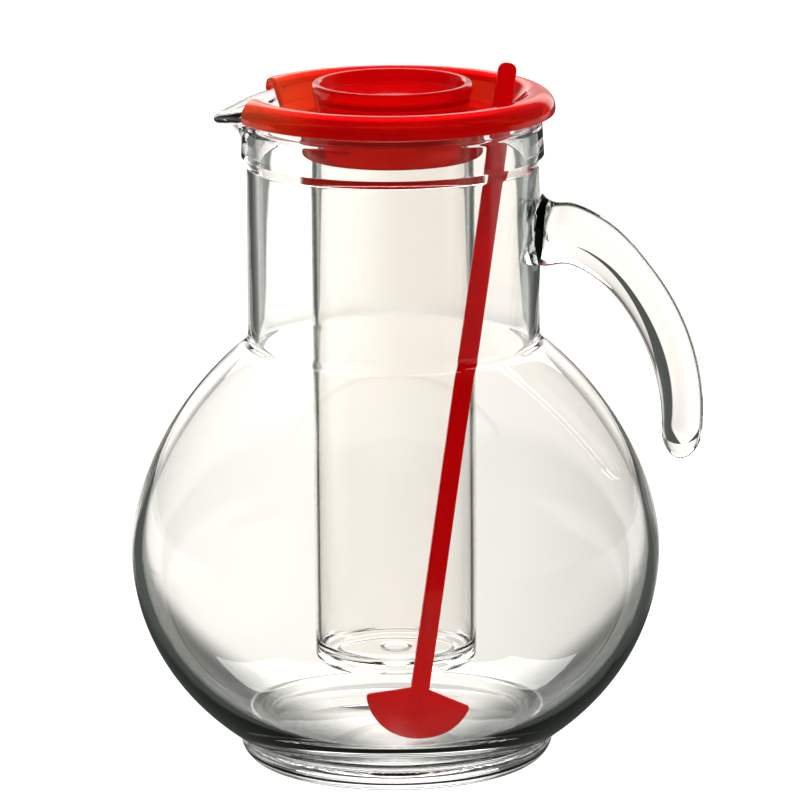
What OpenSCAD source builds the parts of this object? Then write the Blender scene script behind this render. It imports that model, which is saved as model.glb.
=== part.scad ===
// Glass pitcher with a lid that carries an ice tube, and a stirrer that goes through the lid.
// The jug stands on z = 0 with its axis on Z. The handle points to +X and the spout to -X.
// All sizes are in millimetres.

/* [Jug] */
// Outer radius of the belly at its widest ring
belly_r = 82.6; // [76:0.2:90]
// Height of the belly's widest ring above the table
belly_z = 67.5; // [63:0.5:72]
// Height from the widest ring up to where the shoulder curve would close
shoulder_h = 84.7; // [80:0.1:90]
// Height from the widest ring down to where the belly curve would close
heel_h = 73; // [71:0.5:77]
// Power of the shoulder curve, where 2 gives an ellipse
shoulder_power = 1.775; // [1.65:0.005:1.95]
// Wall of the belly at its widest ring
belly_wall = 3.2; // [2.5:0.1:4]
// Wall at the top of the shoulder curve
shoulder_wall = 2.7; // [2:0.1:4]
// Glass below the heel, measured down the axis to where the curves would close
heel_wall = 5.2; // [4:0.2:8]
// Height of the floor inside, which is the thickness of the base
floor_z = 11.6; // [10:0.2:16]
// Roundness of the corner between the floor and the heel
floor_blend = 4.5; // [1:0.1:5]
// Outer radius of the foot
foot_r = 49; // [46:0.2:52]
// Radius of the foot's rounded side
foot_round = 8.2; // [7:0.1:10]
// Height of the foot up to the crease under the belly
foot_h = 7; // [5:0.1:7.5]
// Width of the flat ring that the jug stands on
rest_ring_w = 4.5; // [3:0.5:12]
// Depth of the hollow under the base
punt_h = 2; // [1:0.1:4]

/* [Neck and rim] */
// Room between the ice tube and the inside of the neck
neck_room = 16.7; // [16.2:0.1:18]
// Wall of the neck
neck_wall = 3.4; // [2.8:0.1:3.8]
// Softness of the corner where the shoulder meets the neck
neck_blend = 1.6; // [0.8:0.1:2.2]
// Height of the glass rim above the table
rim_z = 209; // [200:0.5:225]
// How far the collar band stands out from the neck
collar_out = 1; // [0.6:0.1:1.2]
// How much further out the collar's lower edge stands
collar_foot_out = 0.6; // [0.2:0.1:1]
// Height of the collar band under the rim
collar_h = 16.5; // [14:0.5:22]
// Height of the slope under the collar's lower edge
collar_slope_h = 3.1; // [2:0.1:5]
// Height of the rim bead above its crease
bead_h = 6.7; // [5:0.1:8]

/* [Spout] */
// How far the spout's tip stands out from the collar
spout_reach = 9.4; // [7:0.1:11]
// How far the tip of the lip lies below the rim
spout_drop = 6.4; // [4:0.1:8]
// Depth below the rim at which the spout leaves the collar
spout_h = 14.5; // [12:0.5:15.5]
// Depth of the channel where it leaves the neck, below the rounding of the rim
spout_throat_h = 12; // [9:0.5:13]
// Half angle that the spout takes from the collar
spout_angle = 34; // [31:0.5:36]
// Angle between the spout's axis and the line square to its straight sides
spout_side_angle = 29.9; // [27:0.1:32]
// Share of the half angle at which the sides begin to curve back to the collar
spout_fade_share = 0.45; // [0.35:0.05:0.55]
// Softness of the spout's tip, as an angle seen from the axis
spout_soft = 3; // [1:0.5:5]
// Wall of the spout's lip
spout_wall = 3; // [2.4:0.1:3.4]

/* [Handle] */
// Radius of the handle's centreline
handle_bend_r = 65.5; // [62:0.5:70]
// Distance from the jug's axis to the furthest point of the handle's centreline
handle_reach = 90; // [88:0.5:98]
// Depth of that furthest point below the collar
handle_down = 81.5; // [79:0.5:88]
// Width of the handle where it leaves the neck
handle_root_w = 20.6; // [16:0.2:24]
// Width of the handle near its free end
handle_end_w = 12.4; // [10:0.2:15]
// Thickness of the handle for a width of 1
handle_thick_share = 0.8; // [0.6:0.05:1]
// Angle of the centreline at the free end, below the furthest point
handle_end_angle = 11.5; // [5:0.5:16]
// Extra half width of the weld where the handle meets the neck
weld_out = 4; // [2:0.1:6]
// Share of the handle's length over which the weld fades out
weld_share = 0.16; // [0.1:0.02:0.24]
// Share of the handle's length at which its round end begins
tip_share = 0.9; // [0.86:0.01:0.94]

/* [Lid] */
// Radius of the rolled edge over the rim
lid_roll_r = 5.5; // [5:0.1:6]
// How far the rolled edge is set out from the middle of the rim
lid_roll_shift = 0.8; // [0.4:0.1:1.2]
// Depth of the rolled edge's centre below the rim
lid_roll_down = 2.2; // [1.6:0.1:2.6]
// Height of the lid's lower edge under the centre of the rolled edge
lid_skirt_h = 0.8; // [0.2:0.1:2]
// Wall of the lid's rolled edge and dish
lid_wall = 1.6; // [1.2:0.1:2]
// Depth of the dish floor below the rim
dish_down = 4.4; // [3:0.1:6]
// Gap between the edge of the dish floor and the inside of the neck
dish_gap = 4.3; // [3.4:0.1:5.2]
// How far the pouring cut starts inside the edge of the dish floor
pour_in = 1.7; // [1.2:0.1:4.2]
// Half width of the pouring cut at its start
pour_start_half_w = 12.5; // [8:0.5:14]
// Half width of the pouring cut at the lid's outer radius
pour_end_half_w = 23.5; // [20:0.5:25]
// Wall of the socket for the ice tube
socket_wall = 2.7; // [2.3:0.1:3.6]
// Height of the socket under the dish floor
socket_h = 11; // [10:0.5:14]

/* [Ice tube] */
// Outer radius of the tube, which also sets the lid's hole and socket, the neck and the stirrer's place
tube_r = 25.3; // [22:0.1:30]
// Wall of the tube
tube_wall = 1.6; // [1.2:0.1:2]
// Height of the tube's lowest ring above the floor of the jug
tube_up = 18.6; // [8:0.2:40]
// Rounding at the bottom of the tube
tube_round = 5; // [3:0.5:6]
// How far the tube's floor is set up from its lowest ring
tube_punt_h = 3.1; // [2:0.1:5]
// Width of the tube's lowest ring, round its raised floor
tube_ring_w = 5.7; // [5.3:0.1:9]
// Radius of the small boss in the middle of the tube's floor
tube_boss_r = 4.2; // [3:0.1:6]
// Height of that boss
tube_boss_h = 1.5; // [1:0.1:3]
// Number of lugs that hold the tube in the lid's socket
lug_count = 3; // [2:1:4]
// How far a lug stands out from the tube
lug_out = 1.4; // [1:0.1:1.5]
// Height of a lug
lug_h = 2.5; // [2:0.1:3]
// Angle that a lug takes
lug_angle = 16; // [10:1:20]
// Turn between the locked and the open place of the tube
lug_turn = 45; // [30:1:50]
// Distance from the tube's top to the top of its lugs
lug_down = 4.5; // [4:0.1:5]

/* [Tube cap] */
// How far the cap's rim stands out past its foot
cap_flare_w = 1.6; // [1:0.1:2.8]
// Width of the cap's foot on the lid, outside the hole
cap_seat_w = 0.9; // [0.6:0.1:1.7]
// Height of the cap above the dish floor
cap_h = 10.4; // [8:0.1:13]
// Width of the cap's rim
cap_rim_w = 2.3; // [1.8:0.1:3]
// Depth of the finger recess in the cap
cap_recess_h = 4.6; // [4.2:0.1:6]
// Width of the recess's sloping side
cap_slope_w = 1.2; // [0.9:0.1:2.5]
// Wall of the cap
cap_wall = 1.6; // [1.2:0.1:1.8]
// How far the lid reaches in over the tube's bore, round the hole that the cap plugs
hole_ledge_w = 1.4; // [1.1:0.1:2.2]
// Length of the cap's plug below the dish floor's top
plug_h = 5.5; // [4:0.1:8]

/* [Stirrer] */
// Width of the stirrer's bar
bar_w = 5.7; // [4.5:0.1:6]
// Thickness of the stirrer's bar
bar_t = 3; // [2.4:0.1:3.2]
// Distance from the edge of the dish floor in to the middle of the bar's slot
slot_in = 3.5; // [3.3:0.1:4.2]
// Turn of the slot from the handle side towards the front
slot_angle = 6; // [3:0.5:9]
// Height of the bar's top above the rim
bar_up = 12.6; // [8:0.2:20]
// Rounding at the corners of the bar's top
bar_round = 2.4; // [1:0.1:2.8]
// Width of the paddle
paddle_w = 33.6; // [26:0.2:34]
// Height of the paddle at the bar
paddle_h = 16.8; // [14:0.1:17.5]
// Height of the paddle at its two ends
paddle_end_h = 13; // [11:0.1:13.4]
// Thickness of the paddle
paddle_t = 1.8; // [1.4:0.1:2.2]
// Size of the paddle's bevelled corners
paddle_corner = 2; // [1:0.1:3]
// Height of the bar's lower end above the paddle's lowest point
rib_up = 4; // [2:0.2:8]
// Where the paddle stands, along the handle side
paddle_x = 9.6; // [8:0.2:10]
// How far the paddle stands in front of the ice tube
paddle_front = 10.7; // [8.7:0.1:10.9]
// Turn of the paddle's flat face about the vertical
paddle_turn = 14; // [12:0.2:18]

/* [Hidden] */
$fn = 96;

// Running clearance between pieces that fit in each other
clear = 0.3;
// Gap left at the weld between the neck and the handle
weld_gap = 0.05;
// How far cuts run past the face that they leave
over = 1;
// How far joined shapes reach into each other
sink = 0.4;
// How far swept glass stays under the face of the glass that it joins
skin = 0.12;

// Counts of points along the curves
shoulder_steps = 22;
heel_steps = 16;
round_steps = 8;
punt_steps = 12;
roll_steps = 18;
spout_steps = 7;
lip_steps = 5;
handle_rings = 44;
handle_sides = 24;
lip_arc_steps = 2;
// Angle of the lip's round edge, above and below its middle
lip_arc = 60;
// How strongly sections crowd together at a tip
crowd_power = 1.6;
// How far the shoulder curve runs on above the foot of the neck, for a blend of 1
blend_run_share = 4;

// Jug sizes that follow from the driving ones
neck_in_r = tube_r + neck_room;
neck_r = neck_in_r + neck_wall;
collar_r = neck_r + collar_out;
rim_half_w = (collar_r - neck_in_r) / 2;
rim_mid_r = neck_in_r + rim_half_w;
collar_z = rim_z - collar_h;
bead_z = rim_z - bead_h;
rest_out_r = foot_r - foot_round;
rest_in_r = rest_out_r - rest_ring_w;
blend_run = blend_run_share * neck_blend;
in_belly_r = belly_r - belly_wall;
in_shoulder_h = shoulder_h - shoulder_wall;
in_heel_h = heel_h - heel_wall;

// Lid radii and heights
roll_mid_r = rim_mid_r + lid_roll_shift;
lid_r = roll_mid_r + lid_roll_r;
dish_r = neck_in_r - dish_gap;
pour_start = dish_r - pour_in;
slot_r = dish_r - slot_in;
socket_in_r = tube_r + clear;
socket_r = socket_in_r + socket_wall;
dish_z = rim_z - dish_down;
under_z = dish_z - lid_wall;
roll_z = rim_z - lid_roll_down;
roll_end_angle = 118;
skirt_angle = -asin(lid_skirt_h / lid_roll_r);
socket_z = under_z - socket_h;

// Tube and cap radii and heights
tube_in_r = tube_r - tube_wall;
tube_punt_r = tube_r - tube_ring_w;
cap_hole_r = tube_in_r - hole_ledge_w;
cap_foot_r = cap_hole_r + cap_seat_w;
cap_r = cap_foot_r + cap_flare_w;
tube_gap = 0.1;
tube_top_z = under_z - tube_gap;
tube_z = floor_z + tube_up;
lug_z = tube_top_z - lug_down - lug_h;
lug_fit_angle = 1;
cap_z = dish_z + cap_h;
plug_r = cap_hole_r - clear;

// Greatest value of two lengths with a soft corner of size k between them
function soft_max(a, b, k) = (a + b + sqrt((a - b) * (a - b) + k * k)) / 2;

// One point of the shoulder curve, with t from 0 at the widest ring to 90 at the axis
function shoulder_at(r, h, t) = [
  r * pow(cos(t), 2 / shoulder_power),
  belly_z + h * pow(sin(t), 2 / shoulder_power)
];

// One point of the heel curve, with t from 0 at the widest ring to 90 at the axis
function heel_at(r, h, t) = [r * cos(t), belly_z - h * sin(t)];

// Points of an arc from angle a to angle b
function arc(r, z, radius, a, b, steps) = [
  for (i = [0 : steps])
    let (t = a + (b - a) * i / steps)
      [r + radius * cos(t), z + radius * sin(t)]
];

// Angle on the shoulder curve where it reaches a given height
function shoulder_angle(h, z) = asin(pow((z - belly_z) / h, shoulder_power / 2));

// The outer and inner curves end a little above where they meet the neck
shoulder_top_z = belly_z + shoulder_h * pow(1 - pow(neck_r / belly_r, shoulder_power), 1 / shoulder_power);
shoulder_end_z = shoulder_top_z + blend_run;
in_top_z = belly_z + in_shoulder_h * pow(1 - pow(neck_in_r / in_belly_r, shoulder_power), 1 / shoulder_power);
in_end_z = in_top_z + blend_run;

// Outside of the jug from the table up to the rim
foot_top_angle = asin((foot_h - foot_round) / foot_round);
heel_start_angle = asin((belly_z - foot_h - sink) / heel_h);
jug_outer = concat(
  arc(rest_out_r, foot_round, foot_round, -90, foot_top_angle, round_steps),
  [for (i = [0 : heel_steps - 1]) heel_at(belly_r, heel_h, heel_start_angle * (1 - i / heel_steps))],
  [
    for (i = [0 : shoulder_steps])
      let (p = shoulder_at(belly_r, shoulder_h,
        shoulder_angle(shoulder_h, shoulder_end_z) * i / shoulder_steps))
        [soft_max(p[0], neck_r, neck_blend), p[1]]
  ],
  [
    [neck_r, collar_z - collar_slope_h],
    [collar_r + collar_foot_out, collar_z],
    [collar_r, bead_z - sink],
    [collar_r - sink, bead_z],
    [collar_r, bead_z + sink]
  ],
  arc(rim_mid_r, rim_z - rim_half_w, rim_half_w, 0, 90, round_steps)
);

// Inside of the jug from the rim down to the middle of the floor
jug_inner = concat(
  arc(rim_mid_r, rim_z - rim_half_w, rim_half_w, 90, 180, round_steps),
  [
    for (i = [0 : shoulder_steps])
      let (p = shoulder_at(in_belly_r, in_shoulder_h,
        shoulder_angle(in_shoulder_h, in_end_z) * (1 - i / shoulder_steps)))
        [soft_max(p[0], neck_in_r, neck_blend), p[1]]
  ],
  [
    for (i = [1 : heel_steps])
      let (p = heel_at(in_belly_r, in_heel_h, 90 * i / heel_steps))
        [p[0], soft_max(p[1], floor_z, floor_blend)]
  ]
);

// Smooth hollow under the base, which leaves the flat ring that the jug stands on
jug_under = [
  for (i = [0 : punt_steps])
    [rest_in_r * i / punt_steps, punt_h * (1 + cos(180 * i / punt_steps)) / 2]
];

module jug_shell() {
  rotate_extrude() polygon(concat(jug_outer, jug_inner, jug_under));
}

// Part of a ring, between two angles
module ring_part(r_in, r_out, h, from, to) {
  rotate([0, 0, from])
    rotate_extrude(angle = to - from)
      translate([r_in, 0])
        square([r_out - r_in, h]);
}

// Solid through a list of rings, which run anticlockwise as seen from the last one
module ring_sweep(rings) {
  n = len(rings[0]);
  last = (len(rings) - 1) * n;
  faces = concat(
    [[for (k = [0 : n - 1]) k]],
    [
      for (i = [0 : len(rings) - 2], k = [0 : n - 1])
        let (a = i * n + k, b = i * n + (k + 1) % n)
          each [[a, a + n, b], [b, a + n, b + n]]
    ],
    [[for (k = [0 : n - 1]) last + n - 1 - k]]
  );
  polyhedron([for (ring = rings) each ring], faces);
}

// The lip's plan runs straight from the tip to the shoulders and then back into the collar
lip_round = spout_wall / 2;
spout_tip_r = collar_r + spout_reach;
side_r = spout_tip_r * cos(spout_side_angle);
rim_round = rim_half_w - skin;
rim_round_z = rim_z - rim_half_w;
spout_foot_z = rim_z - spout_h - sink;

// Angle from the spout's axis, with the corner at the tip made soft
function soft_angle(a) = sqrt(a * a + spout_soft * spout_soft) - spout_soft;
spout_end = soft_angle(spout_angle);
fade_from = spout_end * spout_fade_share;

// How much of the spout is left at an angle: 1 at the tip and 0 at its ends
function spout_left(a) = max(0, 1 - soft_angle(a) / spout_end);

// Outer radius of the lip at an angle from the spout's axis
function lip_r(a) =
  let (s = min(soft_angle(a), spout_end),
    line_r = side_r / cos(s - spout_side_angle),
    fade = s < fade_from ? 1 : (1 + cos(180 * (s - fade_from) / (spout_end - fade_from))) / 2)
    collar_r - skin + (line_r - collar_r + skin) * fade;

// Outer radius of the collar under the bead
function collar_at(z) = collar_r - skin
  + collar_foot_out * max(0, (bead_z - sink - z) / (bead_z - sink - collar_z));

// Quarter of an ellipse that leaves point p upright and comes into point q level
function flare_curve(p, q) = [
  for (i = [0 : lip_steps])
    let (t = 90 * i / lip_steps)
      [p[0] + (q[0] - p[0]) * (1 - cos(t)), p[1] + (q[1] - p[1]) * sin(t)]
];

// Section of the spout's glass: up its outside, over the lip and down the channel
function spout_section(a) =
  let (left = spout_left(a),
    round_r = rim_round + (lip_round - rim_round) * left,
    r = lip_r(a) - round_r,
    z = rim_round_z + (rim_z - spout_drop - rim_round_z) * left,
    out_z = rim_z - bead_h - (spout_h - bead_h) * left,
    in_z = rim_round_z - spout_throat_h * left,
    outside = concat(
      flare_curve([collar_at(out_z), out_z], [r, z - round_r]),
      arc(r, z, round_r, -lip_arc, 0, lip_arc_steps)),
    inside = flare_curve([neck_in_r + skin, in_z], [r, z + round_r]))
    concat(
      [[neck_in_r + skin, spout_foot_z - sink], [collar_at(spout_foot_z), spout_foot_z - sink]],
      [for (p = outside) [max(p[0], collar_at(p[1])), p[1]]],
      arc(r, z, round_r, lip_arc / lip_arc_steps, lip_arc, lip_arc_steps - 1),
      [for (i = [0 : lip_steps]) inside[lip_steps - i]]
    );

// Angles of the sections, close together at the tip and with one past each end
spout_angles = concat(
  [-spout_angle - over],
  [
    for (i = [-spout_steps : spout_steps])
      sign(i) * spout_angle * pow(abs(i) / spout_steps, crowd_power)
  ],
  [spout_angle + over]
);

// The spout's sections, placed round the jug's axis
module spout() {
  ring_sweep([
    for (a = spout_angles)
      [for (p = spout_section(a)) [-p[0] * cos(a), p[0] * sin(a), p[1]]]
  ]);
}

module jug_body() {
  color("honeydew", 0.5)
    union() {
      difference() {
        jug_shell();
        translate([0, 0, spout_foot_z])
          ring_part(neck_in_r - over, collar_r + over, spout_h + 2 * over,
            180 - spout_angle, 180 + spout_angle);
      }
      spout();
    }
}

// Centre of the handle's bend
bend_x = handle_reach - handle_bend_r;
bend_z = collar_z - handle_down;
handle_root_angle = acos((neck_in_r - bend_x) / handle_bend_r);
taper_power = 0.8;

// Half width of the handle at share s of its length
function handle_half_w(s) =
  let (w = handle_root_w + (handle_end_w - handle_root_w) * pow(s, taper_power),
    flare = s < weld_share ? weld_out * pow(1 - s / weld_share, 2) : 0,
    tip = s > tip_share ? sqrt(max(0, 1 - pow((s - tip_share) / (1 - tip_share), 2))) : 1)
    (w / 2 + flare) * tip;

// One ring of points round the handle's centreline
function handle_ring(s) =
  let (a = handle_root_angle - (handle_root_angle + handle_end_angle) * s,
    half_w = handle_half_w(s),
    half_t = half_w * handle_thick_share)
    [
      for (k = [0 : handle_sides - 1])
        let (t = 360 * k / handle_sides, out = handle_bend_r + half_w * cos(t))
          [bend_x + out * cos(a), -half_t * sin(t), bend_z + out * sin(a)]
    ];

// The rings crowd together at the free end, so that it is round
function handle_share(i) = 1 - pow(1 - i / handle_rings, crowd_power);

module jug_handle() {
  color("honeydew", 0.5)
    difference() {
      ring_sweep([for (i = [0 : handle_rings - 1]) handle_ring(handle_share(i))]);
      translate([0, 0, shoulder_end_z])
        cylinder(r = neck_r + weld_gap, h = rim_z);
    }
}

// Slope of the dish wall, from the floor to the rolled edge
roll_in = [roll_mid_r + lid_roll_r * cos(roll_end_angle), roll_z + lid_roll_r * sin(roll_end_angle)];
dish_run = roll_in - [dish_r, dish_z];
dish_out_r = dish_r + lid_wall * norm(dish_run) / dish_run[1] - lid_wall * dish_run[0] / dish_run[1];

lid_section = concat(
  [[cap_hole_r, dish_z], [dish_r, dish_z]],
  arc(roll_mid_r, roll_z, lid_roll_r, roll_end_angle, skirt_angle, roll_steps),
  arc(roll_mid_r, roll_z, lid_roll_r - lid_wall, skirt_angle, roll_end_angle, roll_steps),
  [
    [dish_out_r, under_z],
    [socket_r, under_z],
    [socket_r, socket_z],
    [socket_in_r, socket_z],
    [socket_in_r, under_z],
    [cap_hole_r, under_z]
  ]
);

// Cut that lets the drink out over the spout
module pour_cut() {
  far = lid_r + over;
  edge_x = sqrt(lid_r * lid_r - pour_end_half_w * pour_end_half_w);
  widen = (pour_end_half_w - pour_start_half_w) / (edge_x - pour_start);
  far_half_w = pour_start_half_w + widen * (far - pour_start);
  translate([0, 0, under_z - over])
    linear_extrude(height = lid_wall + dish_down + lid_roll_r + 2 * over)
      polygon([
        [-pour_start, -pour_start_half_w],
        [-pour_start, pour_start_half_w],
        [-far, far_half_w],
        [-far, -far_half_w]
      ]);
}

// Channels in the socket: one way up from below, and one way round to the locked place
module lug_channels() {
  way_up = lug_angle / 2 + lug_fit_angle;
  way_round = way_up + lug_fit_angle;
  for (i = [0 : lug_count - 1])
    rotate([0, 0, 360 * i / lug_count]) {
      translate([0, 0, lug_z - clear])
        ring_part(tube_r, tube_r + lug_out + clear, lug_h + 2 * clear, -way_round, lug_turn + way_round);
      translate([0, 0, socket_z - over])
        ring_part(tube_r - sink, tube_r + lug_out + sink, lug_z + lug_h / 2 - socket_z + over,
          lug_turn - way_up, lug_turn + way_up);
    }
}

module lid() {
  color("red")
    difference() {
      rotate_extrude() polygon(lid_section);
      pour_cut();
      lug_channels();
      stirrer_place() bar(bar_w + 2 * clear, bar_t + 2 * clear, bar_len + over);
    }
}

module tube_cap() {
  recess_r = cap_r - cap_rim_w - cap_slope_w;
  recess_z = cap_z - cap_recess_h;
  rim_round = cap_rim_w / 2;
  color("red")
    rotate_extrude()
      polygon(concat(
        [[0, recess_z], [recess_r, recess_z]],
        arc(cap_r - rim_round, cap_z - rim_round, rim_round, 180, 0, roll_steps),
        [
          [cap_r, cap_z - cap_rim_w],
          [cap_foot_r, dish_z],
          [plug_r, dish_z],
          [plug_r, dish_z - plug_h],
          [plug_r - cap_wall, dish_z - plug_h],
          [plug_r - cap_wall, recess_z - cap_wall],
          [0, recess_z - cap_wall]
        ]
      ));
}

module ice_tube() {
  in_round = tube_round - tube_wall;
  punt_z = tube_z + tube_punt_h;
  color("whitesmoke", 0.4)
    union() {
      rotate_extrude()
        polygon(concat(
          [[0, punt_z - tube_boss_h], [tube_boss_r, punt_z - tube_boss_h], [tube_boss_r, punt_z]],
          [[tube_punt_r - tube_wall, punt_z], [tube_punt_r, tube_z]],
          arc(tube_r - tube_round, tube_z + tube_round, tube_round, -90, 0, round_steps),
          [[tube_r, tube_top_z], [tube_in_r, tube_top_z]],
          [[tube_in_r, punt_z + tube_wall + in_round]],
          arc(tube_in_r - in_round, punt_z + tube_wall + in_round, in_round, 0, -90, round_steps),
          [[0, punt_z + tube_wall]]
        ));
      for (i = [0 : lug_count - 1])
        rotate([0, 0, 360 * i / lug_count])
          translate([0, 0, lug_z])
            ring_part(tube_r - sink, tube_r + lug_out, lug_h, -lug_angle / 2, lug_angle / 2);
    }
}

// Height of the jug's floor at a distance from the axis
function floor_at(r) = soft_max(belly_z - in_heel_h * sqrt(1 - pow(r / in_belly_r, 2)), floor_z, floor_blend);

// The stirrer leans from the slot in the lid to its place on the floor
paddle_lift = 0.6;
paddle_y = tube_r + paddle_front;
foot_point = [paddle_x, -paddle_y, floor_at(norm([paddle_x, paddle_y]) + paddle_t) + paddle_lift];
slot_point = [slot_r * cos(slot_angle), -slot_r * sin(slot_angle), dish_z];
lean = slot_point - foot_point;
// The lean seen in the paddle's own directions
lean_side = lean[0] * cos(paddle_turn) + lean[1] * sin(paddle_turn);
lean_back = lean[1] * cos(paddle_turn) - lean[0] * sin(paddle_turn);
lean_len = norm(lean);
tilt_back = asin(lean_back / lean_len);
tilt_side = asin(lean_side / lean_len / cos(tilt_back));
bar_len = (rim_z + bar_up - foot_point[2]) * lean_len / lean[2];

module stirrer_place() {
  translate(foot_point)
    rotate([-tilt_back, tilt_side, paddle_turn])
      children();
}

// Outline in the plane of the paddle, made as thick as t
module flat_piece(t) {
  rotate([90, 0, 0])
    linear_extrude(height = t, center = true)
      children();
}

// Straight bar from its lower end up to a given length along the lean
module bar(w, t, len) {
  flat_piece(t)
    translate([-w / 2, rib_up])
      square([w, len - rib_up]);
}

// Outline of the paddle: a disc's lower part under a low gable
module paddle_outline() {
  disc_r = paddle_w / 2;
  side = [
    [bar_w / 2, paddle_h],
    [disc_r - paddle_corner, paddle_end_h],
    [disc_r, paddle_end_h - paddle_corner],
    [disc_r, 0]
  ];
  intersection() {
    translate([0, disc_r])
      circle(r = disc_r);
    union() {
      polygon(concat([[0, 0], [0, paddle_h]], side));
      mirror([1, 0])
        polygon(concat([[0, 0], [0, paddle_h]], side));
    }
  }
}

module stirrer() {
  half_w = bar_w / 2 - bar_round;
  color("red")
    stirrer_place() {
      bar(bar_w, bar_t, bar_len - bar_round);
      flat_piece(bar_t) {
        translate([-half_w, bar_len - bar_round - sink])
          square([2 * half_w, bar_round + sink]);
        for (side = [-1, 1])
          translate([side * half_w, bar_len - bar_round])
            circle(r = bar_round);
      }
      flat_piece(paddle_t)
        paddle_outline();
    }
}

jug_body();
jug_handle();
lid();
tube_cap();
ice_tube();
stirrer();
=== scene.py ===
import math
import bpy
import bmesh
import numpy as np
from mathutils import Matrix, Vector


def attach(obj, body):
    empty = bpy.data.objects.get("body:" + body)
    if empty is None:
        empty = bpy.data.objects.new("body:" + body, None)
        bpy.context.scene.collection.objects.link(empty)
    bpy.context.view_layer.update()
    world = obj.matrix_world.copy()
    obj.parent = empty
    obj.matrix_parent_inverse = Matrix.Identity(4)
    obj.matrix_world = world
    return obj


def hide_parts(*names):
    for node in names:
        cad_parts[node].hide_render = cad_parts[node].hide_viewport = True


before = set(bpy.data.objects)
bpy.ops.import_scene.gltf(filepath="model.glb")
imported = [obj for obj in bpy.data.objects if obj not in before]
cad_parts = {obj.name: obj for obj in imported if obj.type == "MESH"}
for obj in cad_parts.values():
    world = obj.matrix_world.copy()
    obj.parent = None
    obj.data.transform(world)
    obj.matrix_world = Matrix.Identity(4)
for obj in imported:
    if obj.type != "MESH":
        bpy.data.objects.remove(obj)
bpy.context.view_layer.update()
print("frame loaded")

mm = 0.001


# lines and surfaces
def unit(v):
    return v / np.linalg.norm(v)


def roundCorners(points, radii, steps=6, closed=False):
    # each corner of the line becomes an arc of its radius that touches both of its sides
    points = np.array(points, float)
    n = len(points)
    out = []
    for i in range(n):
        p, radius = points[i], radii[i]
        if radius <= 0 or (not closed and i in (0, n - 1)):
            out.append(p)
            continue
        before, after = points[i - 1] - p, points[(i + 1) % n] - p
        room = 0.49 * min(np.linalg.norm(before), np.linalg.norm(after))
        a, b = unit(before), unit(after)
        half = math.acos(max(-1, min(1, float(a @ b)))) / 2
        if half > 1.5:
            out.append(p)
            continue
        reach = min(radius / math.tan(half), room)
        radius = reach * math.tan(half)
        centre = p + unit(a + b) * radius / math.sin(half)
        v = p + a * reach - centre
        turn = math.pi - 2 * half
        if a[0] * b[1] - a[1] * b[0] > 0:
            turn = -turn
        for t in np.linspace(0, turn, steps + 1):
            c, s = math.cos(t), math.sin(t)
            out.append(centre + np.array([c * v[0] - s * v[1], s * v[0] + c * v[1]]))
    return np.array(out)


def arcLine(r, z, radius, start, end, steps):
    # points of a circle from one angle to another, in degrees
    t = np.radians(np.linspace(start, end, steps + 1))
    return np.stack([r + radius * np.cos(t), z + radius * np.sin(t)], 1)


def resample(line, count):
    # the same line with its points at equal distances along it
    d = np.r_[0, np.cumsum(np.linalg.norm(np.diff(line, axis=0), axis=1))]
    t = np.linspace(0, d[-1], count)
    return np.stack([np.interp(t, d, line[:, k]) for k in range(line.shape[1])], 1)


def densify(line, gap):
    # long straight stretches get points between, so that no face is much longer than the gap
    out = [line[:1]]
    for p, q in zip(line[:-1], line[1:]):
        n = max(1, int(np.ceil(np.linalg.norm(q - p) / gap)))
        out.append(p + (q - p) * (np.arange(1, n + 1) / n)[:, None])
    return np.concatenate(out)


def gridFaces(rows, cols, wrapRows=False, wrapCols=False):
    # four-sided faces between neighbouring points of a grid
    i = np.arange(rows if wrapRows else rows - 1)[:, None]
    j = np.arange(cols if wrapCols else cols - 1)[None, :]
    i2, j2 = (i + 1) % rows, (j + 1) % cols
    return np.stack([i * cols + j, i2 * cols + j, i2 * cols + j2, i * cols + j2], 2).reshape(-1, 4)


def softMax(a, b, k):
    # the greater of two lengths, with a soft corner of size k between them
    return (a + b + np.sqrt((a - b) ** 2 + k * k)) / 2


def smoothStep(x):
    # 0 below 0, 1 above 1 and a smooth rise between
    x = np.clip(x, 0, 1)
    return x * x * (3 - 2 * x)


def meshFrom(name, points, faces, sharpAngle=40):
    # points in millimetres; doubles are merged, and faces turned outwards
    mesh = bpy.data.meshes.new(name)
    mesh.from_pydata((np.asarray(points).reshape(-1, 3) * mm).tolist(), [], [list(f) for f in faces])
    bm = bmesh.new()
    bm.from_mesh(mesh)
    bmesh.ops.remove_doubles(bm, verts=bm.verts, dist=2e-6)
    bmesh.ops.dissolve_degenerate(bm, edges=bm.edges, dist=1e-7)
    bmesh.ops.recalc_face_normals(bm, faces=bm.faces)
    finishShading(bm, sharpAngle)
    bm.to_mesh(mesh)
    bm.free()
    return mesh


def finishShading(bm, sharpAngle):
    # smooth faces, with a hard line at each edge that bends by more than the angle
    for f in bm.faces:
        f.smooth = True
    for e in bm.edges:
        e.smooth = not (e.is_manifold and e.calc_face_angle(0) > math.radians(sharpAngle))


def addObject(name, data):
    # a mesh, lamp or camera as an object of the scene
    piece = bpy.data.objects.new(name, data)
    bpy.context.scene.collection.objects.link(piece)
    return piece


def combine(piece, other, operation, sharpAngle=40):
    # joins or cuts two closed solids and keeps one mesh
    m = piece.modifiers.new("combine", "BOOLEAN")
    m.operation, m.object, m.solver = operation, other, "MANIFOLD"
    bpy.context.view_layer.update()
    done = bpy.data.meshes.new_from_object(piece.evaluated_get(bpy.context.evaluated_depsgraph_get()))
    piece.modifiers.clear()
    bm = bmesh.new()
    bm.from_mesh(done)
    finishShading(bm, sharpAngle)
    bm.to_mesh(done)
    bm.free()
    name = piece.data.name
    piece.data = done
    piece.data.name = name
    bpy.data.objects.remove(other)
    return piece


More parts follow.
